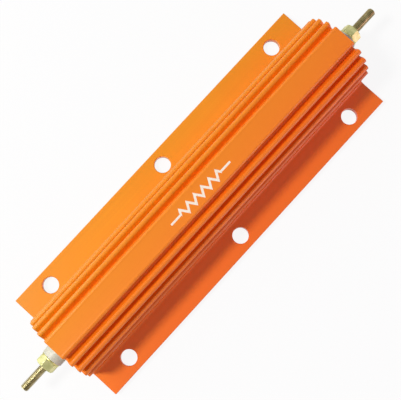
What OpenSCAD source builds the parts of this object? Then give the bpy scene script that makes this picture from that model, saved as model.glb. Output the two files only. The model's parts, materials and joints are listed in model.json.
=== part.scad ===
// Aluminium-housed wirewound power resistor: a finned, flanged extrusion around a wire-wound
// ceramic core, with a threaded stud terminal at each end.
// Frame: X along the housing, Z up from the mounting face, origin under the middle of the housing.

/* [Housing] */
// Length of the extruded housing
housing_l = 139; // [110:1:200]
// Width of the mounting flange
flange_w = 47.5; // [46:0.5:60]
// Thickness of the mounting flange
flange_t = 2.5; // [1.5:0.1:4]
// Height of the bore's axis above the mounting face
axis_z = 11.6; // [11:0.1:14]
// Diameter over the fin tips
fin_tip_d = 27.2; // [26.6:0.1:28]
// Thickness of one fin
fin_t = 2; // [1.4:0.1:2.2]
// Depth of the grooves between the fins
groove_depth = 2.9; // [2:0.1:3.2]
// Angle of the corner between a groove's round floor and the flanks beside it
floor_corner = 18; // [10:1:40]
// Angle of the crest's round shoulders, from straight up
shoulder_angle = 15.4; // [13:0.1:16.5]
// Angle from a shoulder to the first fin, and from one fin to the next
fin_pitch = 17.6; // [16:0.1:18]
// Fins on each side of the crest
fin_count = 4; // [3:1:4]
// How far the flat of the crest lies below its shoulders
crest_drop = 0.1; // [0.05:0.05:0.3]
// How far the foot's walls lie inside the tips of the lowest fins
foot_inset = 0.3; // [0.1:0.05:0.5]
// Diameter of the bore
bore_d = 16; // [15.2:0.1:17]
// Fillet where the foot meets the flange
foot_fillet = 1; // [0.3:0.1:1.5]

/* [Mounting holes] */
// Diameter of a hole in the flange
hole_d = 5.8; // [3:0.1:6]
// Distance from the housing's end to the centre of its nearest holes
hole_inset = 12.25; // [6:0.25:25]

/* [Terminals] */
// Outer diameter of the stud's thread
stud_d = 3; // [2.5:0.1:3.4]
// Pitch of the stud's thread
thread_pitch = 0.5; // [0.35:0.05:0.7]
// How far the stud stands out of the housing's end
stud_reach = 17.8; // [14:0.1:24]
// Chamfer on the stud's tip
stud_chamfer = 0.4; // [0.1:0.1:0.8]
// Diameter of the stud's welded head
stud_head_d = 8; // [6:0.1:9.5]
// Thickness of the stud's welded head
stud_head_t = 2; // [1:0.1:3]
// Size of the hexagonal nut across its flats
nut_af = 6; // [5.5:0.1:7]
// Thickness of the hexagonal nut
nut_t = 3; // [2:0.1:3.5]
// How far the left nut stopped from a corner pointing straight up
left_nut_turn = 12; // [-30:1:30]
// How far the right nut stopped from a corner pointing straight up
right_nut_turn = 17; // [-30:1:30]
// Outer diameter of the flat washer
washer_d = 7; // [6:0.1:8]
// Thickness of the flat washer
washer_t = 0.6; // [0.3:0.1:1]
// Hole through the washer and the bush
stud_hole_d = 3.5; // [3.5:0.1:4]

/* [End bushes] */
// Diameter of the bush's collar, outside the housing
collar_d = 7.6; // [7:0.1:10]
// Length of the collar beyond the housing's end
collar_l = 4.4; // [3:0.1:6]
// Depth of the bush's plug in the bore, from the housing's end
plug_depth = 5.5; // [3:0.1:8]
// How far the plug's outer face lies inside the housing's end
plug_recess = 0.6; // [0:0.1:1.5]

/* [Core] */
// Diameter of the ceramic core
core_d = 10; // [9:0.1:10.4]
// Wall of an end cap's skirt
cap_wall = 0.6; // [0.4:0.1:0.9]
// Floor of an end cap
cap_floor = 0.8; // [0.5:0.1:1.5]
// Length of an end cap's skirt over the core
cap_skirt = 6; // [4:0.1:10]
// Diameter of the resistance wire
wire_d = 1; // [0.7:0.1:1.1]
// Turns of the resistance wire
wire_turns = 30; // [20:1:40]

/* [Hidden] */
$fn = 96;

// Gap of a pressed or cemented fit, all round
fit_gap = 0.05;
// Extra reach of a cutting solid past the face it opens
cut_over = 1;

// The shoulders are shaped like fins and count as fin 0, and grooves lie half-way between the fins
fin_tip_r = fin_tip_d / 2;
tip_centre_r = fin_tip_r - fin_t / 2;
half_pitch = fin_pitch / 2;
// Angle of a fin from straight up, and a point on its middle line by its distance from the bore's axis
function fin_angle(fin) = shoulder_angle + fin * fin_pitch;
function on_fin(fin, r) = r * [sin(fin_angle(fin)), cos(fin_angle(fin))];
shoulder = on_fin(0, tip_centre_r);
last_tip = on_fin(fin_count, tip_centre_r);
// Each groove floor is an arc that ends on the flanks of the two fins beside it
floor_r = fin_tip_r - groove_depth;
floor_centre_r = (floor_r * cos(floor_corner) - fin_t / 2) / (cos(floor_corner) - sin(half_pitch));
floor_round = floor_centre_r - floor_r;
// Radius at which those arcs are widest across the groove, hidden in the fins
root_r = norm([floor_centre_r * cos(half_pitch), fin_t / 2]);
// Middle of the tube's wall, where the fins start
wall_mid_r = (bore_d / 2 + floor_r) / 2;
last_root = on_fin(fin_count, wall_mid_r);
crest_top = shoulder.y + fin_t / 2 - crest_drop;
foot_half_w = last_tip.x + fin_t / 2 - foot_inset;
// Each row of holes runs half-way between the foot's wall and the flange's edge
hole_row_y = (foot_half_w + flange_w / 2) / 2;

// Stations along the axis, measured outwards from the middle of the housing
end_face = housing_l / 2;
bush_in = end_face - plug_depth;
plug_out = end_face - plug_recess;
collar_out = end_face + collar_l;
washer_out = collar_out + washer_t;
nut_out = washer_out + nut_t;
stud_tip = end_face + stud_reach;
head_in = bush_in - stud_head_t;
core_end = head_in - cap_floor;
cap_rim = core_end - cap_skirt;

// Mating threads are drawn at their pitch diameter, free thread at its crest. The pitch line of a
// 60 degree thread lies three eighths of the sharp profile's height under the crest.
thread_depth = thread_pitch * cos(30);
thread_pitch_d = stud_d - 2 * 3 / 8 * thread_depth;
nut_ac = nut_af / cos(30);
nut_chamfer = (nut_ac - nut_af) / 2 * tan(30);

// The wire's path: a helix that just clears the core at the middle of each straight step
wire_steps = 14;
wire_sides = 6;
wire_path_r = (core_d / 2 + fit_gap + wire_d / 2) / cos(180 / wire_steps);
wire_out_r = wire_path_r + wire_d / 2;
wire_half_l = cap_rim - wire_d / 2 - fit_gap;
wire_last = wire_turns * wire_steps;

cap_out_r = core_d / 2 + fit_gap + cap_wall;

// Lays a piece that is drawn standing on Z along the bore, towards one end (-1 left, 1 right)
module along_axis(side) {
    translate([0, 0, axis_z]) rotate([0, side * 90, 0]) children();
}

// A turned piece between two stations on the axis
module turned(from, to, d) {
    translate([0, 0, from]) cylinder(h = to - from, d = d);
}

// One fin with a round tip, standing on the tube's wall
module fin_section() {
    translate([-fin_t / 2, wall_mid_r]) square([fin_t, tip_centre_r - wall_mid_r]);
    translate([0, tip_centre_r]) circle(d = fin_t);
}

// The flat crest, reaching to the middles of its round shoulders
module crest_section() {
    polygon([
        [0, 0], shoulder, [shoulder.x, crest_top], [-shoulder.x, crest_top], [-shoulder.x, shoulder.y]
    ]);
}

// The upper half of the tube with its shoulders and fins, centred on the bore
module tube_section() {
    difference() {
        circle(r = root_r);
        translate([-fin_tip_r, -2 * fin_tip_r]) square(2 * fin_tip_r);
        for (side = [-1, 1], fin = [0 : fin_count - 1])
            rotate(side * fin_angle(fin + 0.5)) translate([0, floor_centre_r]) circle(r = floor_round);
    }
    for (side = [-1, 1], fin = [0 : fin_count])
        rotate(side * fin_angle(fin)) fin_section();
    crest_section();
}

// The flange, and the foot that reaches up to the middle lines of the last fins
module foot_section() {
    tip_z = axis_z + last_tip.y;
    root_z = axis_z + last_root.y;
    translate([-flange_w / 2, 0]) square([flange_w, flange_t]);
    polygon([
        [-foot_half_w, 0], [foot_half_w, 0], [foot_half_w, tip_z], [last_tip.x, tip_z], [last_root.x, root_z],
        [-last_root.x, root_z], [-last_tip.x, tip_z], [-foot_half_w, tip_z]
    ]);
    for (side = [0, 1])
        mirror([side, 0]) translate([foot_half_w, flange_t]) difference() {
            square(foot_fillet);
            translate([foot_fillet, foot_fillet]) circle(r = foot_fillet);
        }
}

// Finned extrusion with its flange, drilled for six screws
module housing() {
    color("darkorange") difference() {
        rotate([90, 0, 90]) linear_extrude(height = housing_l, center = true) difference() {
            union() {
                foot_section();
                translate([0, axis_z]) tube_section();
            }
            translate([0, axis_z]) circle(d = bore_d);
        }
        for (x = [-1, 0, 1], y = [-1, 1])
            translate([x * (end_face - hole_inset), y * hole_row_y, -cut_over])
                cylinder(h = flange_t + 2 * cut_over, d = hole_d);
    }
}

// Mineral filling that carries the heat from the winding to the housing
module insulating_fill() {
    color("lightgray") along_axis(1) difference() {
        turned(-bush_in, bush_in, bore_d - 2 * fit_gap);
        turned(-bush_in - cut_over, bush_in + cut_over, stud_head_d + 2 * fit_gap);
        turned(-head_in, head_in, 2 * (cap_out_r + fit_gap));
        turned(-cap_rim, cap_rim, 2 * (wire_out_r + fit_gap));
    }
}

// Ceramic rod that the wire is wound on
module ceramic_core() {
    color("ivory") along_axis(1) turned(-core_end, core_end, core_d);
}

// One length of resistance wire, wound as a helix between the end caps
module resistance_wire() {
    points = [
        for (step = [0 : wire_last])
            let (turn = 360 * step / wire_steps, x = wire_half_l * (2 * step / wire_last - 1))
                for (corner = [0 : wire_sides - 1])
                    let (a = 360 * corner / wire_sides, r = wire_path_r + wire_d / 2 * cos(a))
                        [x + wire_d / 2 * sin(a), r * sin(turn), r * cos(turn)]
    ];
    walls = [
        for (step = [0 : wire_last - 1], corner = [0 : wire_sides - 1])
            let (a = step * wire_sides, b = a + wire_sides, next = (corner + 1) % wire_sides)
                [a + corner, a + next, b + next, b + corner]
    ];
    first_end = [for (corner = [wire_sides - 1 : -1 : 0]) corner];
    last_end = [for (corner = [0 : wire_sides - 1]) wire_last * wire_sides + corner];
    color("dimgray") translate([0, 0, axis_z]) polyhedron(points, concat(walls, [first_end, last_end]));
}

// Metal cup pressed over one end of the core
module end_cap(side) {
    color("silver") along_axis(side) difference() {
        turned(cap_rim, head_in, 2 * cap_out_r);
        turned(cap_rim - cut_over, core_end, core_d + 2 * fit_gap);
    }
}

// Threaded stud, welded to the end cap by its head
module terminal_stud(side) {
    color("tan") along_axis(side) {
        turned(head_in, bush_in, stud_head_d);
        turned(bush_in, washer_out, stud_d);
        turned(washer_out, nut_out, thread_pitch_d);
        turned(nut_out, stud_tip - stud_chamfer, stud_d);
        translate([0, 0, stud_tip - stud_chamfer])
            cylinder(h = stud_chamfer, d1 = stud_d, d2 = stud_d - 2 * stud_chamfer);
    }
}

// Ceramic bush that closes the bore and keeps the stud off the housing
module end_bush(side) {
    color("honeydew") along_axis(side) difference() {
        union() {
            turned(bush_in, plug_out, bore_d - 2 * fit_gap);
            turned(bush_in, collar_out, collar_d);
        }
        turned(bush_in - cut_over, collar_out + cut_over, stud_hole_d);
    }
}

// Flat washer between the bush and the nut
module flat_washer(side) {
    color("palegoldenrod") along_axis(side) difference() {
        turned(collar_out, washer_out, washer_d);
        turned(collar_out - cut_over, washer_out + cut_over, stud_hole_d);
    }
}

// Hexagonal nut, its corners chamfered on both faces
module hex_nut(side, turn) {
    color("khaki") along_axis(side) translate([0, 0, washer_out]) difference() {
        intersection() {
            rotate(turn) cylinder(h = nut_t, d = nut_ac, $fn = 6);
            rotate_extrude() polygon([
                [0, 0], [nut_af / 2, 0], [nut_ac / 2, nut_chamfer],
                [nut_ac / 2, nut_t - nut_chamfer], [nut_af / 2, nut_t], [0, nut_t]
            ]);
        }
        translate([0, 0, -cut_over]) cylinder(h = nut_t + 2 * cut_over, d = thread_pitch_d + 2 * fit_gap);
    }
}

housing();
insulating_fill();
ceramic_core();
resistance_wire();
end_cap(-1);  // left_end_cap
end_cap(1);  // right_end_cap
terminal_stud(-1);  // left_terminal_stud
terminal_stud(1);  // right_terminal_stud
end_bush(-1);  // left_end_bush
end_bush(1);  // right_end_bush
flat_washer(-1);  // left_flat_washer
flat_washer(1);  // right_flat_washer
hex_nut(-1, left_nut_turn);  // left_hex_nut
hex_nut(1, right_nut_turn);  // right_hex_nut
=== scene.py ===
import json
import math
import bpy
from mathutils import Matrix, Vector


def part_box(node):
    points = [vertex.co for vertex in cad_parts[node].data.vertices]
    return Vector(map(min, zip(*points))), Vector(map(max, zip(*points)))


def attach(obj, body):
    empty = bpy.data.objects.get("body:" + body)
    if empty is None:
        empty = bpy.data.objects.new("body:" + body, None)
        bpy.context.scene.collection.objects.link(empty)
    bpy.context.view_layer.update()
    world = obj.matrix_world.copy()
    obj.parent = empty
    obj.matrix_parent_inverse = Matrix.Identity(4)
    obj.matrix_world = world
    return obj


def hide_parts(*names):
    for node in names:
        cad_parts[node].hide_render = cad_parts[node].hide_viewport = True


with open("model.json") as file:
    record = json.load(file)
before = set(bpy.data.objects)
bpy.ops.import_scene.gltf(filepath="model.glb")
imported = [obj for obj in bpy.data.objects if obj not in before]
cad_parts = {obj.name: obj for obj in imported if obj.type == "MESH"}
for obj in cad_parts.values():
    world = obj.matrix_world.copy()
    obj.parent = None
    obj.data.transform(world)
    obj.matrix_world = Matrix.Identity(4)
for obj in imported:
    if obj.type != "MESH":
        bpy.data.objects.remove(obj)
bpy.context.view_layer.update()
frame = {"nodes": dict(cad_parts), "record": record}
print("frame loaded with", len(frame["nodes"]), "nodes")

mm = 0.001
mergeGap = 0.001 * mm  # points closer than this are one point
smoothBelow = 30  # degrees, faces that meet at less are shaded as one surface
mounts = {mount["name"]: mount["dims"] for mount in frame["record"]["mounts"]}
housingLow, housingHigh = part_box("housing")
bushLow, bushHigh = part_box("right_end_bush")
washerLow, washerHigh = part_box("right_flat_washer")
nutLow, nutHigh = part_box("right_hex_nut")
studLow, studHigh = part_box("right_terminal_stud")
axisHeight = (bushLow.z + bushHigh.z) / 2  # the bore, core and studs share this axis


# drawing and finishing, used by every piece

def pick(piece):
    bpy.ops.object.select_all(action="DESELECT")
    piece.select_set(True)
    bpy.context.view_layer.objects.active = piece


def startPiece(name, at):
    # a lone vertex in edit mode, to draw an outline from
    bpy.ops.object.select_all(action="DESELECT")
    bpy.ops.mesh.primitive_plane_add(size=mm)
    piece = bpy.context.active_object
    piece.name = piece.data.name = name
    bpy.ops.object.mode_set(mode="EDIT")
    bpy.ops.mesh.merge(type="CENTER")
    bpy.ops.transform.translate(value=at)
    return piece


def lineTo(point):
    piece = bpy.context.active_object
    piece.update_from_editmode()
    last = next(v.co for v in piece.data.vertices if v.select)
    bpy.ops.mesh.extrude_region_move(TRANSFORM_OT_translate={"value": Vector(point) - last})


def arcRound(centre, degrees, steps):
    # turns the last point about a line along X, from straight up towards +Y when degrees are positive
    bpy.ops.mesh.spin(steps=steps, angle=math.radians(degrees), center=centre, axis=(1, 0, 0))


def leaveEditing():
    # merges what lies on one spot and turns the faces outwards
    bpy.ops.mesh.select_all(action="SELECT")
    bpy.ops.mesh.remove_doubles(threshold=mergeGap)
    bpy.ops.mesh.normals_make_consistent(inside=False)
    bpy.ops.object.mode_set(mode="OBJECT")


def finishWith(piece, kind, **settings):
    bpy.context.view_layer.objects.active = piece
    modifier = piece.modifiers.new(kind.lower(), kind)
    for key, value in settings.items():
        setattr(modifier, key, value)
    bpy.ops.object.modifier_apply(modifier=modifier.name)


def combine(piece, other, operation):
    # cuts, joins or trims a piece with a second one, which is used up
    finishWith(piece, "BOOLEAN", object=other, operation=operation, solver="EXACT")
    bpy.data.objects.remove(other)


def softenEdges(piece, width, fromAngle=40, segments=2):
    # breaks the edges whose faces turn by more than this many degrees
    finishWith(piece, "BEVEL", width=width, segments=segments, limit_method="ANGLE",
               angle_limit=math.radians(fromAngle), use_clamp_overlap=False)


def shade(piece):
    pick(piece)
    bpy.ops.object.shade_smooth_by_angle(angle=math.radians(smoothBelow))
    finishWith(piece, "WEIGHTED_NORMAL", keep_sharp=True)


def turned(name, outline, steps=64):
    # spins an outline of (along the axis, radius) points round the bore's axis
    points = [Vector((x, 0, axisHeight + r)) for x, r in outline]
    piece = startPiece(name, points[0])
    for point in points[1:]:
        lineTo(point)
    bpy.ops.mesh.select_all(action="SELECT")
    bpy.ops.mesh.spin(steps=steps, angle=math.tau, center=(0, 0, axisHeight), axis=(1, 0, 0))
    leaveEditing()
    return piece


def turnRound(piece):
    pick(piece)
    piece.rotation_euler = (0, 0, math.pi)
    bpy.ops.object.transform_apply(location=False, rotation=True, scale=False)


def copyTurnedRound(piece, name):
    # the same piece at the other end, with its own mesh
    pick(piece)
    bpy.ops.object.duplicate(linked=False)
    twin = bpy.context.active_object
    twin.name = twin.data.name = name
    turnRound(twin)
    return twin


def wear(piece, material):
    piece.data.materials.clear()
    piece.data.materials.append(material)


def standFor(piece, node, material):
    wear(piece, material)
    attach(piece, "root")
    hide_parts(node)


# materials

def hexColour(code):
    # sRGB hex to the linear colour that sockets take
    parts = [int(code[i:i + 2], 16) / 255 for i in (1, 3, 5)]
    return [p / 12.92 if p <= 0.04045 else ((p + 0.055) / 1.055) ** 2.4 for p in parts] + [1]


def addNode(material, kind, settings=None, inputs=None, stops=()):
    # stops are the places and colours along a colour ramp
    node = material.node_tree.nodes.new(kind)
    for key, value in (settings or {}).items():
        setattr(node, key, value)
    for key, value in (inputs or {}).items():
        if isinstance(value, bpy.types.NodeSocket):
            material.node_tree.links.new(value, node.inputs[key])
        else:
            node.inputs[key].default_value = value
    for i, (position, code) in enumerate(stops):
        node.color_ramp.elements[i].position = position
        node.color_ramp.elements[i].color = hexColour(code)
    return node


def startMaterial(name, **values):
    material = bpy.data.materials.new(name)
    material.use_nodes = True
    shader = material.node_tree.nodes["Principled BSDF"]
    for key, value in values.items():
        shader.inputs[key.replace("_", " ")].default_value = value
    place = addNode(material, "ShaderNodeTexCoord").outputs["Object"]
    return material, shader, place


def join(material, source, target):
    material.node_tree.links.new(source, target)


def perMm(size):
    # texture scale at which one feature is this many millimetres wide
    return 1 / (size * mm)


anodised = {
    "orange": "#F39C10",
    "deepOrange": "#EF920C",
    "dyeLevels": (0.1, 0.45),  # where the noise gives the deep and the plain orange
    "dyePatch": 25,
    # painted shade: the red that the orange turns to on the side away from the key light
    "paintedShadeRed": "#FF7717",
    "paintedShadeWay": (0.08, -1, 0),  # painted shade: the colour turns redder this way, away from the key light, and less red towards the lamps' end,
    "paintedShadeReach": 20,  # over this far to either side of the middle
    "dieLineWidth": 0.5,  # real ones are finer than a pixel, so they are drawn as wide as shows
    "dieLineLength": 60,
    "dieLineDepth": 0.05,
    "bump": 0.06,
    "roughness": (0.58, 0.66),
}


def makeAnodised():
    # etched, dyed and sealed aluminium: the dye in the oxide scatters deep orange, with painted shade that
    # turns it redder towards the long side away from the key light and less red towards the lamps' end, the
    # metal under it adds a broad satin sheen, the sealed skin a thin pale gloss, and faint die lines run
    # along it
    a = anodised
    material, shader, place = startMaterial("satin_dyed_anodised_aluminium", Metallic=0.06, Coat_Weight=0.75,
                                            Coat_Roughness=0.22, Coat_IOR=1.55,
                                            Specular_IOR_Level=0.1)
    lines = addNode(material, "ShaderNodeMapping", inputs={
        "Vector": place,
        "Scale": (perMm(a["dieLineLength"]), perMm(a["dieLineWidth"]), perMm(a["dieLineWidth"]))})
    streaks = addNode(material, "ShaderNodeTexNoise", inputs={
        "Vector": lines.outputs["Vector"], "Scale": 1, "Detail": 3, "Roughness": 0.6})
    patches = addNode(material, "ShaderNodeTexNoise", inputs={
        "Vector": place, "Scale": perMm(a["dyePatch"]), "Detail": 2})
    blend = addNode(material, "ShaderNodeMath", {"operation": "MULTIPLY"}, {
        0: streaks.outputs["Fac"], 1: patches.outputs["Fac"]})
    dye = addNode(material, "ShaderNodeValToRGB", inputs={"Fac": blend.outputs["Value"]},
                  stops=zip(a["dyeLevels"], (a["deepOrange"], a["orange"])))
    # painted shade: mixes the dye towards red across the part, on the side away from the key light
    across = addNode(material, "ShaderNodeVectorMath", {"operation": "DOT_PRODUCT"}, {
        0: place, 1: a["paintedShadeWay"]})
    paintedShadeReach = addNode(material, "ShaderNodeMapRange", inputs={
        "Value": across.outputs["Value"], "From Min": -a["paintedShadeReach"] * mm, "From Max": a["paintedShadeReach"] * mm})
    paintedShadeMix = addNode(material, "ShaderNodeMix", {"data_type": "RGBA"}, {  # 6 and 7 are its two colours
        "Factor": paintedShadeReach.outputs["Result"], 6: dye.outputs["Color"], 7: hexColour(a["paintedShadeRed"])})
    join(material, paintedShadeMix.outputs[2], shader.inputs["Base Color"])
    satin = addNode(material, "ShaderNodeMapRange", inputs={
        "Value": streaks.outputs["Fac"], "To Min": a["roughness"][0], "To Max": a["roughness"][1]})
    join(material, satin.outputs["Result"], shader.inputs["Roughness"])
    relief = addNode(material, "ShaderNodeBump", inputs={
        "Height": streaks.outputs["Fac"], "Strength": a["bump"], "Distance": a["dieLineDepth"] * mm})
    join(material, relief.outputs["Normal"], shader.inputs["Normal"])
    return material


metalSkin = {
    "filmLevels": (0.35, 0.65),  # where the noise gives the dark and the pale film
    "grit": 0.35,  # the real grit is finer, so it is drawn as coarse as shows
    "gritDepth": 0.02,
    "bump": 0.08,
    "smoother": 0.06,  # how far the roughness strays to either side
    "rougher": 0.08,
}


def makeFilmedMetal(name, pale, dark, roughness, patch):
    # metal under a thin film, such as chromate on zinc: bright, with a colour that drifts in soft patches
    # between the film's pale and dark shades, and a fine grit from the bath or the draw
    m = metalSkin
    material, shader, place = startMaterial(name, Metallic=1.0)
    film = addNode(material, "ShaderNodeTexNoise", inputs={
        "Vector": place, "Scale": perMm(patch), "Detail": 4, "Distortion": 0.6})
    tint = addNode(material, "ShaderNodeValToRGB", inputs={"Fac": film.outputs["Fac"]},
                   stops=zip(m["filmLevels"], (dark, pale)))
    join(material, tint.outputs["Color"], shader.inputs["Base Color"])
    grit = addNode(material, "ShaderNodeTexNoise", inputs={
        "Vector": place, "Scale": perMm(m["grit"]), "Detail": 2})
    satin = addNode(material, "ShaderNodeMapRange", inputs={
        "Value": grit.outputs["Fac"],
        "To Min": roughness - m["smoother"], "To Max": roughness + m["rougher"]})
    join(material, satin.outputs["Result"], shader.inputs["Roughness"])
    relief = addNode(material, "ShaderNodeBump", inputs={
        "Height": grit.outputs["Fac"], "Strength": m["bump"], "Distance": m["gritDepth"] * mm})
    join(material, relief.outputs["Normal"], shader.inputs["Normal"])
    return material


firedBody = {
    "grainLevels": (0.3, 0.6),  # where the noise gives the dark grains and the pale body
    "grainDepth": 0.05,
    "roughnessSpread": 0.08,
}


def makeFired(name, pale, dark, grain, roughness, bump):
    # pressed and fired mineral: matt body with darker grains, drawn coarser than real so that they show
    f = firedBody
    material, shader, place = startMaterial(name, IOR=1.6)
    grains = addNode(material, "ShaderNodeTexNoise", inputs={
        "Vector": place, "Scale": perMm(grain), "Detail": 5, "Roughness": 0.65})
    body = addNode(material, "ShaderNodeValToRGB", inputs={"Fac": grains.outputs["Fac"]},
                   stops=zip(f["grainLevels"], (dark, pale)))
    join(material, body.outputs["Color"], shader.inputs["Base Color"])
    gloss = addNode(material, "ShaderNodeMapRange", inputs={
        "Value": grains.outputs["Fac"],
        "To Min": roughness - f["roughnessSpread"], "To Max": roughness + f["roughnessSpread"]})
    join(material, gloss.outputs["Result"], shader.inputs["Roughness"])
    relief = addNode(material, "ShaderNodeBump", inputs={
        "Height": grains.outputs["Fac"], "Strength": bump, "Distance": f["grainDepth"] * mm})
    join(material, relief.outputs["Normal"], shader.inputs["Normal"])
    return material


ink = {
    "thin": "#F6DDBE",
    "full": "#FFF4E0",
    "coverLevels": (0.25, 0.5),  # where the noise gives the thin and the full ink
    "coverPatch": 0.6,
}


def makeInk():
    # pad-printed white epoxy ink: matt, slightly thin in places so that the metal warms it
    material, shader, place = startMaterial("pad_printed_white_ink", Roughness=0.55, IOR=1.5)
    cover = addNode(material, "ShaderNodeTexNoise", inputs={
        "Vector": place, "Scale": perMm(ink["coverPatch"]), "Detail": 3})
    white = addNode(material, "ShaderNodeValToRGB", inputs={"Fac": cover.outputs["Fac"]},
                    stops=zip(ink["coverLevels"], (ink["thin"], ink["full"])))
    join(material, white.outputs["Color"], shader.inputs["Base Color"])
    return material


anodisedSkin = makeAnodised()
# zinc plate under a straw film: thin and greyish on the rolled studs, pale and greenish on nuts and washers
studSteel = makeFilmedMetal("rolled_stud_zinc_passivated_steel",
                            pale="#C2B890", dark="#988E68", roughness=0.36, patch=2.5)
nutSteel = makeFilmedMetal("nut_yellow_passivated_zinc_steel",
                           pale="#E4E0A6", dark="#C4C486", roughness=0.46, patch=2)
washerSteel = makeFilmedMetal("washer_yellow_passivated_zinc_steel",
                              pale="#D8D08E", dark="#B8B470", roughness=0.4, patch=2.5)
# off-white body with a slight gloss
bushCeramic = makeFired("fired_steatite_bush", pale="#DADBC8", dark="#C0C2AC", grain=0.5, roughness=0.42,
                        bump=0.15)
whiteInk = makeInk()
print("materials for the outside made")


# finned housing

housing = {
    "flange": 2.5 * mm,
    "tipRadius": 13.6 * mm,
    "finThickness": 2 * mm,
    "grooveDepth": 2.9 * mm,
    "floorCorner": 18,  # degrees, the slight corner where a flank meets the round floor
    "shoulder": 15.4,  # degrees from straight up to the crest's shoulder, then the fins follow at the pitch
    "finPitch": 17.6,
    "finCount": 4,
    "crestDrop": 0.1 * mm,  # the crest's flat lies this far under its shoulders
    "footInset": 0.3 * mm,
    "footFillet": 1 * mm,
    "strip": 0.4 * mm,  # a narrow face beside the fillet keeps the flange's shading flat
    "boreGap": 0.05 * mm,
    "edgeBreak": 0.15 * mm,
    "edgeAngle": 50,
    "holeRim": 0.2 * mm,
    "shoulderSteps": 9,
    "floorSteps": 9,
    "tipSteps": 10,
    "lastTipSteps": 8,
    "filletSteps": 6,
    "boreSteps": 96,
    "holeSteps": 64,
}


def makeHousing():
    h = housing
    start, length = housingLow.x, housingHigh.x - housingLow.x
    axis = Vector((start, 0, axisHeight))
    pitch, corner = math.radians(h["finPitch"]), math.radians(h["floorCorner"])
    halfFin = h["finThickness"] / 2
    tipCentre = h["tipRadius"] - halfFin
    floor = h["tipRadius"] - h["grooveDepth"]
    floorCentre = (floor * math.cos(corner) - halfFin) / (math.cos(corner) - math.sin(pitch / 2))
    flankEnd = floorCentre * math.cos(pitch / 2) - (floorCentre - floor) * math.sin(corner)

    def onFin(fin, out, across=0):
        # a point by its distance out from the axis along a fin and across that fin
        lean = math.radians(h["shoulder"]) + fin * pitch
        return axis + Vector((0, out * math.sin(lean) + across * math.cos(lean),
                              out * math.cos(lean) - across * math.sin(lean)))

    shoulder, lastFin = onFin(0, tipCentre), h["finCount"]
    crest = housingHigh.z - h["crestDrop"]
    rise = math.acos(1 - h["crestDrop"] / halfFin)  # where the flat of the crest meets its round shoulder
    piece = startPiece("finned_housing", (start, 0, crest))
    lineTo((start, shoulder.y - halfFin * math.sin(rise), crest))
    arcRound(shoulder, math.degrees(rise) + 90 + h["shoulder"], h["shoulderSteps"])
    for fin in range(lastFin):
        lineTo(onFin(fin, flankEnd, halfFin))
        arcRound(onFin(fin + 0.5, floorCentre), h["finPitch"] + 2 * h["floorCorner"] - 180, h["floorSteps"])
        lineTo(onFin(fin + 1, tipCentre, -halfFin))
        if fin + 1 < lastFin:
            arcRound(onFin(fin + 1, tipCentre), 180, h["tipSteps"])
    lastTip = onFin(lastFin, tipCentre)
    fall = math.degrees(math.acos(1 - h["footInset"] / halfFin))  # where the last tip meets the foot's wall
    arcRound(lastTip, 180 - h["shoulder"] - lastFin * h["finPitch"] + fall, h["lastTipSteps"])
    wall, fillet = lastTip.y + halfFin - h["footInset"], h["footFillet"]
    lineTo((start, wall, h["flange"] + fillet))
    arcRound((start, wall + fillet, h["flange"] + fillet), -90, h["filletSteps"])
    lineTo((start, wall + fillet + h["strip"], h["flange"]))
    lineTo((start, housingHigh.y, h["flange"]))
    lineTo((start, housingHigh.y, 0))
    lineTo((start, 0, 0))
    bpy.ops.object.mode_set(mode="OBJECT")
    finishWith(piece, "MIRROR", use_axis=(False, True, False), merge_threshold=mergeGap)

    bpy.ops.object.mode_set(mode="EDIT")
    bore = bushHigh.z - axisHeight + h["boreGap"]
    bpy.ops.mesh.primitive_circle_add(vertices=h["boreSteps"], radius=bore, location=axis,
                                      rotation=(0, math.pi / 2, 0))
    bpy.ops.mesh.select_all(action="SELECT")
    bpy.ops.mesh.fill()
    bpy.ops.mesh.extrude_region_move(TRANSFORM_OT_translate={"value": (length, 0, 0)})
    leaveEditing()
    softenEdges(piece, h["edgeBreak"], h["edgeAngle"], segments=1)
    combine(piece, makeDrills(), "DIFFERENCE")
    shade(piece)
    return piece


def makeDrills():
    # a drill that breaks both rims of a screw hole, copied to the six places
    corner, rim, over = mounts["corner_holes"], housing["holeRim"], mm
    hole, top = corner["hole_r_mm"] * mm, housing["flange"]
    drills = startPiece("drills", (0, 0, -over))
    for r, z in ((hole + rim + over, -over), (hole, rim), (hole, top - rim), (hole + rim + over, top + over),
                 (0, top + over)):
        lineTo((r, 0, z))
    bpy.ops.mesh.select_all(action="SELECT")
    bpy.ops.mesh.spin(steps=housing["holeSteps"], angle=math.tau, center=(0, 0, 0), axis=(0, 0, 1))
    bpy.ops.mesh.select_all(action="SELECT")
    acrossX, acrossY = corner["spacing_x_mm"] * mm, corner["spacing_y_mm"] * mm
    bpy.ops.transform.translate(value=(-acrossX / 2, -acrossY / 2, 0))
    for move in ((0, acrossY), (acrossX / 2, 0), (0, -acrossY), (acrossX / 2, 0), (0, acrossY)):
        bpy.ops.mesh.duplicate_move(TRANSFORM_OT_translate={"value": (*move, 0)})
    leaveEditing()
    return drills


finnedHousing = makeHousing()
standFor(finnedHousing, "housing", anodisedSkin)
print("housing made,", len(finnedHousing.data.polygons), "faces")


# printed mark on the crest: a plain zigzag between two leads

crestPrint = {
    "middle": (-1 * mm, -0.5 * mm),
    "length": 28 * mm,
    "height": 4.2 * mm,
    "lead": 4.5 * mm,
    "strokes": 11,
    "leadWidth": 0.7 * mm,
    "strokeWidth": 1.5 * mm,  # measured along Y, so the sloping strokes come out half as wide
    "film": 0.02 * mm,
}


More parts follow.
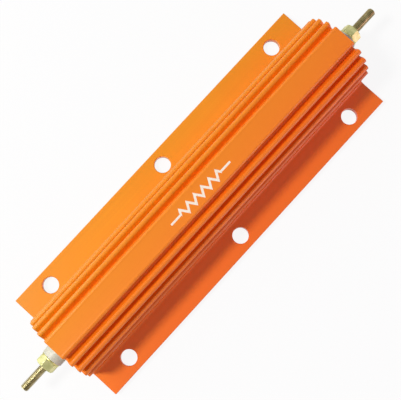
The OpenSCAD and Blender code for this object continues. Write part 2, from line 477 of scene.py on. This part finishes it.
def makeCrestPrint():
    p = crestPrint
    top = housingHigh.z - housing["crestDrop"]
    half, zigzag = p["length"] / 2, p["length"] / 2 - p["lead"]
    swing = (p["height"] - p["strokeWidth"]) / 2
    piece = startPiece("crest_print", (-zigzag, 0, top))
    run = 2 * zigzag / p["strokes"]
    for stroke in range(p["strokes"]):
        side = 1 if stroke % 2 == 0 else -1
        lineTo((-zigzag + (stroke + 0.5) * run, side * swing, top))
    lineTo((zigzag, 0, top))
    bpy.ops.mesh.select_all(action="SELECT")
    bpy.ops.transform.translate(value=(0, -p["strokeWidth"] / 2, 0))
    bpy.ops.mesh.extrude_region_move(TRANSFORM_OT_translate={"value": (0, p["strokeWidth"], 0)})
    for side in (-1, 1):
        bpy.ops.mesh.primitive_plane_add(size=1, location=(side * (half - p["lead"] / 2), 0, top))
        bpy.ops.transform.resize(value=(p["lead"], p["leadWidth"], 1))
    bpy.ops.mesh.select_all(action="SELECT")
    bpy.ops.mesh.extrude_region_move(TRANSFORM_OT_translate={"value": (0, 0, p["film"])})
    bpy.ops.mesh.select_all(action="SELECT")
    bpy.ops.transform.translate(value=(*p["middle"], 0))
    leaveEditing()
    return piece


mark = makeCrestPrint()
wear(mark, whiteInk)
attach(mark, "root")
print("print made")


# terminals, modelled at the right end and turned round for the left

stud = {
    "headThickness": 2 * mm,
    "pitch": 0.5 * mm,
    "threadDepth": 0.5413,  # of the pitch: five eighths of the sharp height of a 60 degree thread
    "stepsPerTurn": 28,
    "mergeGap": 0.0005 * mm,
    "chamfer": 0.4 * mm,
    "blankClear": 0.2 * mm,  # the blank stands clear of the thread's crests and cuts only its pointed end
    "edgeBreak": 0.2 * mm,
}


def makeThread(start, end, radius):
    # one pitch of the profile, wound along the axis by the Screw modifier, then cut square
    p = stud["pitch"]
    depth = stud["threadDepth"] * p
    turns = math.ceil((end - start) / p) + 2
    first = start - p
    profile = [(0, depth), (p / 4, depth), (9 * p / 16, 0), (11 * p / 16, 0), (p, depth)]
    piece = startPiece("thread", (first + profile[0][0], 0, radius - profile[0][1]))
    for x, under in profile[1:]:
        lineTo((first + x, 0, radius - under))
    bpy.ops.object.mode_set(mode="OBJECT")
    finishWith(piece, "SCREW", axis="X", screw_offset=p, iterations=turns, steps=stud["stepsPerTurn"],
               render_steps=stud["stepsPerTurn"], use_merge_vertices=True, merge_threshold=stud["mergeGap"])
    bpy.ops.object.mode_set(mode="EDIT")
    for x, side in ((start, -1), (end, 1)):
        bpy.ops.mesh.select_all(action="SELECT")
        bpy.ops.mesh.remove_doubles(threshold=stud["mergeGap"])
        bpy.ops.mesh.select_all(action="SELECT")
        bpy.ops.mesh.bisect(plane_co=(x, 0, 0), plane_no=(side, 0, 0), use_fill=True, clear_outer=True)
    bpy.ops.mesh.select_all(action="SELECT")
    bpy.ops.transform.translate(value=(0, 0, axisHeight))
    leaveEditing()
    return piece


def makeStud():
    s = stud
    radius = mounts["right_terminal"]["r_mm"] * mm
    headOut = studLow.x + s["headThickness"]
    headRadius = studHigh.z - axisHeight
    tip, clear = studHigh.x, s["blankClear"]
    piece = makeThread(headOut - s["headThickness"] / 2, tip + s["pitch"] / 2, radius)
    blank = turned("blank", [(studLow.x, 0), (studLow.x, radius + clear),
                             (tip - s["chamfer"] - clear, radius + clear), (tip, radius - s["chamfer"]),
                             (tip, 0)], steps=2 * s["stepsPerTurn"])
    combine(piece, blank, "INTERSECT")
    head = turned("head", [(studLow.x, 0), (studLow.x, headRadius), (headOut, headRadius), (headOut, 0)])
    softenEdges(head, s["edgeBreak"])
    combine(piece, head, "UNION")
    bpy.ops.object.mode_set(mode="EDIT")
    leaveEditing()  # merges what the cuts left almost touching
    piece.name = piece.data.name = "right_threaded_stud"
    shade(piece)
    return piece


bush = {
    "studHole": 1.75 * mm,
    "collarRadius": 3.8 * mm,
    "plugRecess": 0.6 * mm,  # the plug's face lies this far inside the housing's end
    "edgeBreak": 0.35 * mm,
}


def makeBush():
    hole, collar, plug = bush["studHole"], bush["collarRadius"], bushHigh.z - axisHeight
    shoulder = housingHigh.x - bush["plugRecess"]
    piece = turned("right_bush", [(bushLow.x, hole), (bushLow.x, plug), (shoulder, plug), (shoulder, collar),
                                  (bushHigh.x, collar), (bushHigh.x, hole), (bushLow.x, hole)])
    softenEdges(piece, bush["edgeBreak"])
    shade(piece)
    return piece


washer = {
    "studHole": 1.75 * mm,
    "edgeBreak": 0.12 * mm,
}


def makeWasher():
    hole, rim = washer["studHole"], washerHigh.z - axisHeight
    piece = turned("right_washer", [(washerLow.x, hole), (washerLow.x, rim), (washerHigh.x, rim),
                                    (washerHigh.x, hole), (washerLow.x, hole)])
    softenEdges(piece, washer["edgeBreak"])
    shade(piece)
    return piece


nut = {
    "acrossFlats": 6 * mm,
    "bore": 1.53 * mm,
    "countersink": 0.3 * mm,
    "leftTurn": 12,  # degrees, no two nuts stop at the same turn
    "rightTurn": 17,
    "coneSteps": 72,
    "edgeBreak": 0.07 * mm,
    "edgeAngle": 30,
}


def makeNut(name, turn):
    start, end = nutLow.x, nutHigh.x
    flats = nut["acrossFlats"] / 2
    corners = flats / math.cos(math.pi / 6)
    chamfer = (corners - flats) * math.tan(math.pi / 6)  # the usual 30 degrees
    bpy.ops.object.select_all(action="DESELECT")
    bpy.ops.mesh.primitive_cylinder_add(vertices=6, radius=corners, depth=end - start,
                                        rotation=(0, math.pi / 2, 0))
    piece = bpy.context.active_object
    piece.name = piece.data.name = name
    bpy.ops.object.transform_apply(rotation=True)
    piece.rotation_euler.x = math.radians(90 + turn)  # a corner leans this far from straight up to -Y
    piece.location = ((start + end) / 2, 0, axisHeight)
    bpy.ops.object.transform_apply(location=True, rotation=True)
    cone = turned("cone", [(start, 0), (start, flats), (start + chamfer, corners), (end - chamfer, corners),
                           (end, flats), (end, 0)], steps=nut["coneSteps"])
    combine(piece, cone, "INTERSECT")
    bore, sink = nut["bore"], nut["countersink"]
    tap = turned("tap", [(start - mm, 0), (start - mm, bore + sink + mm), (start + sink, bore),
                         (end - sink, bore), (end + mm, bore + sink + mm), (end + mm, 0)])
    combine(piece, tap, "DIFFERENCE")
    softenEdges(piece, nut["edgeBreak"], nut["edgeAngle"])
    shade(piece)
    return piece


rightPieces = {
    "terminal_stud": (makeStud(), "left_threaded_stud", "stud_steel", studSteel),
    "end_bush": (makeBush(), "left_bush", "bush_ceramic", bushCeramic),
    "flat_washer": (makeWasher(), "left_washer", "washer_steel", washerSteel),
}
for node, (piece, leftName, slot, material) in rightPieces.items():
    twin = copyTurnedRound(piece, leftName)
    standFor(piece, "right_" + node, material)
    standFor(twin, "left_" + node, material)
    print(node, "made,", len(piece.data.polygons), "faces each")
rightNut = makeNut("right_nut", nut["rightTurn"])
leftNut = makeNut("left_nut", nut["leftTurn"])
turnRound(leftNut)
standFor(rightNut, "right_hex_nut", nutSteel)
standFor(leftNut, "left_hex_nut", nutSteel)
print("nuts made")


# inner pieces keep their solids and get their finishes

capFinish = {"pale": "#C3C2BC", "dark": "#A6A59E", "roughness": 0.35, "patch": 3}
innerFinishes = {
    # packed sand and binder, grey and coarse
    "insulating_fill": makeFired("packed_mineral_cement", pale="#CFCBC2", dark="#A9A59B", grain=0.8,
                                 roughness=0.85, bump=0.5),
    # chalky cream, with no glaze
    "ceramic_core": makeFired("unglazed_steatite_core", pale="#EFE9DC", dark="#DCD4C2", grain=0.6,
                              roughness=0.6, bump=0.2),
    # heat leaves a dark grey oxide
    "resistance_wire": makeFilmedMetal("oxidised_nickel_chrome_wire", pale="#6E6A66", dark="#4C4845",
                                       roughness=0.45, patch=1.5),
    # bright grey tin with faint cloudy patches
    "left_end_cap": makeFilmedMetal("left_cap_pressed_tinned_steel", **capFinish),
    "right_end_cap": makeFilmedMetal("right_cap_pressed_tinned_steel", **capFinish),
}
for node, material in innerFinishes.items():
    wear(frame["nodes"][node], material)
print("inner pieces finished")


# floor, light and camera

studio = {
    "floorSize": 6,
    "floorGap": 0.02 * mm,  # under the part, so that the two faces don't share a plane
    "paper": "#F4F3F0",
    "bounce": "#8C8A86",  # what the paper throws back on the object, dimmer than it looks
    "glow": 0.9,  # share of the floor that shines white where it is seen, so that only a faint shadow shows
    "backdrop": (0.92, 0.5),  # brightness where it is seen, at the horizon and straight above
    "backdropFade": (0.3, 0.85),  # heights between which the one turns into the other
    "sky": "#F6F2FF",
    "skyLight": 0.3,  # how much of it lights matt surfaces
}
softboxes = {
    "key_softbox": {"from": (-0.51, 0.42, 1.0), "distance": 0.8, "width": 0.16, "height": 0.16,
                    "power": 3.75, "tint": "#FFFFFF"},
    "side_softbox": {"from": (-0.42, 0.8, 0.44), "distance": 0.7, "width": 0.5, "height": 0.46,
                     "power": 1.5, "tint": "#FFFFFF"},
    "fill_softbox": {"from": (0.35, -0.9, 0.17), "distance": 1.5, "width": 0.9, "height": 0.9,
                     "power": 5.4, "tint": "#FFB4CC"},
}
photoCamera = {
    "place": (-0.02964, -0.0256, 0.2699),
    "turn": (4.548, -0.33, -47.596),
    "lens": 69.18,
    "sensor": 36,
    "shift": (-0.0057, 0.1267),  # the photo is cropped off its lens's middle
    "nearest": 5 * mm,
}


def seenRays(material):
    # rays that show a backdrop: straight to the camera, mirrored in metal or through glass
    rays = addNode(material, "ShaderNodeLightPath").outputs
    mirrored = addNode(material, "ShaderNodeMath", {"operation": "MAXIMUM"}, {
        0: rays["Is Camera Ray"], 1: rays["Is Glossy Ray"]})
    seen = addNode(material, "ShaderNodeMath", {"operation": "MAXIMUM"}, {
        0: mirrored.outputs["Value"], 1: rays["Is Transmission Ray"]})
    return seen.outputs["Value"]


def makeFloor():
    # matt white paper; the share that shines keeps it white where it is seen
    bpy.ops.object.select_all(action="DESELECT")
    bpy.ops.mesh.primitive_plane_add(size=studio["floorSize"], location=(0, 0, -studio["floorGap"]))
    floor = bpy.context.active_object
    floor.name = floor.data.name = "paper_floor"
    bpy.ops.object.transform_apply(location=True)
    material, shader, _ = startMaterial("matt_white_paper", Roughness=0.9)
    seen = seenRays(material)
    face = addNode(material, "ShaderNodeMix", {"data_type": "RGBA"}, {
        "Factor": seen, 6: hexColour(studio["bounce"]), 7: hexColour(studio["paper"])})
    join(material, face.outputs[2], shader.inputs["Base Color"])
    glow = addNode(material, "ShaderNodeEmission", inputs={"Color": (1, 1, 1, 1), "Strength": 1.0})
    share = addNode(material, "ShaderNodeMath", {"operation": "MULTIPLY"}, {0: seen, 1: studio["glow"]})
    mix = addNode(material, "ShaderNodeMixShader", inputs={
        0: share.outputs["Value"], 1: shader.outputs["BSDF"], 2: glow.outputs["Emission"]})
    join(material, mix.outputs["Shader"], material.node_tree.nodes["Material Output"].inputs["Surface"])
    wear(floor, material)


def makeLight():
    world = bpy.context.scene.world or bpy.data.worlds.new("studio")
    bpy.context.scene.world = world
    world.use_nodes = True
    sky = world.node_tree.nodes["Background"]
    seen = seenRays(world)
    tint = addNode(world, "ShaderNodeMix", {"data_type": "RGBA"}, {
        "Factor": seen, 6: hexColour(studio["sky"]), 7: (1, 1, 1, 1)})
    join(world, tint.outputs[2], sky.inputs["Color"])
    up = addNode(world, "ShaderNodeSeparateXYZ", inputs={
        0: addNode(world, "ShaderNodeTexCoord").outputs["Generated"]})
    backdrop = addNode(world, "ShaderNodeMapRange", {"interpolation_type": "SMOOTHSTEP"}, {
        "Value": up.outputs["Z"],
        "From Min": studio["backdropFade"][0], "From Max": studio["backdropFade"][1],
        "To Min": studio["backdrop"][0], "To Max": studio["backdrop"][1]})
    level = addNode(world, "ShaderNodeMix", inputs={  # 2 and 3 are its two numbers
        0: seen, 2: studio["skyLight"], 3: backdrop.outputs["Result"]})
    join(world, level.outputs[0], sky.inputs["Strength"])
    for name, box in softboxes.items():
        toBox = Vector(box["from"]).normalized()
        bpy.ops.object.light_add(type="AREA", location=toBox * box["distance"])
        lamp = bpy.context.active_object
        lamp.name = name
        lamp.rotation_euler = (-toBox).to_track_quat("-Z", "Y").to_euler()
        lamp.data.shape = "ELLIPSE"
        lamp.data.size, lamp.data.size_y = box["width"], box["height"]
        lamp.data.energy = box["power"]
        lamp.data.color = hexColour(box["tint"])[:3]


def makeCamera():
    turn = [math.radians(angle) for angle in photoCamera["turn"]]
    bpy.ops.object.camera_add(location=photoCamera["place"], rotation=turn)
    camera = bpy.context.active_object
    camera.data.lens = photoCamera["lens"]
    camera.data.sensor_width = photoCamera["sensor"]
    camera.data.shift_x, camera.data.shift_y = photoCamera["shift"]
    camera.data.clip_start = photoCamera["nearest"]
    bpy.context.scene.camera = camera


makeFloor()
makeLight()
makeCamera()
bpy.context.scene.view_settings.view_transform = "Standard"
print("floor, light and camera set")
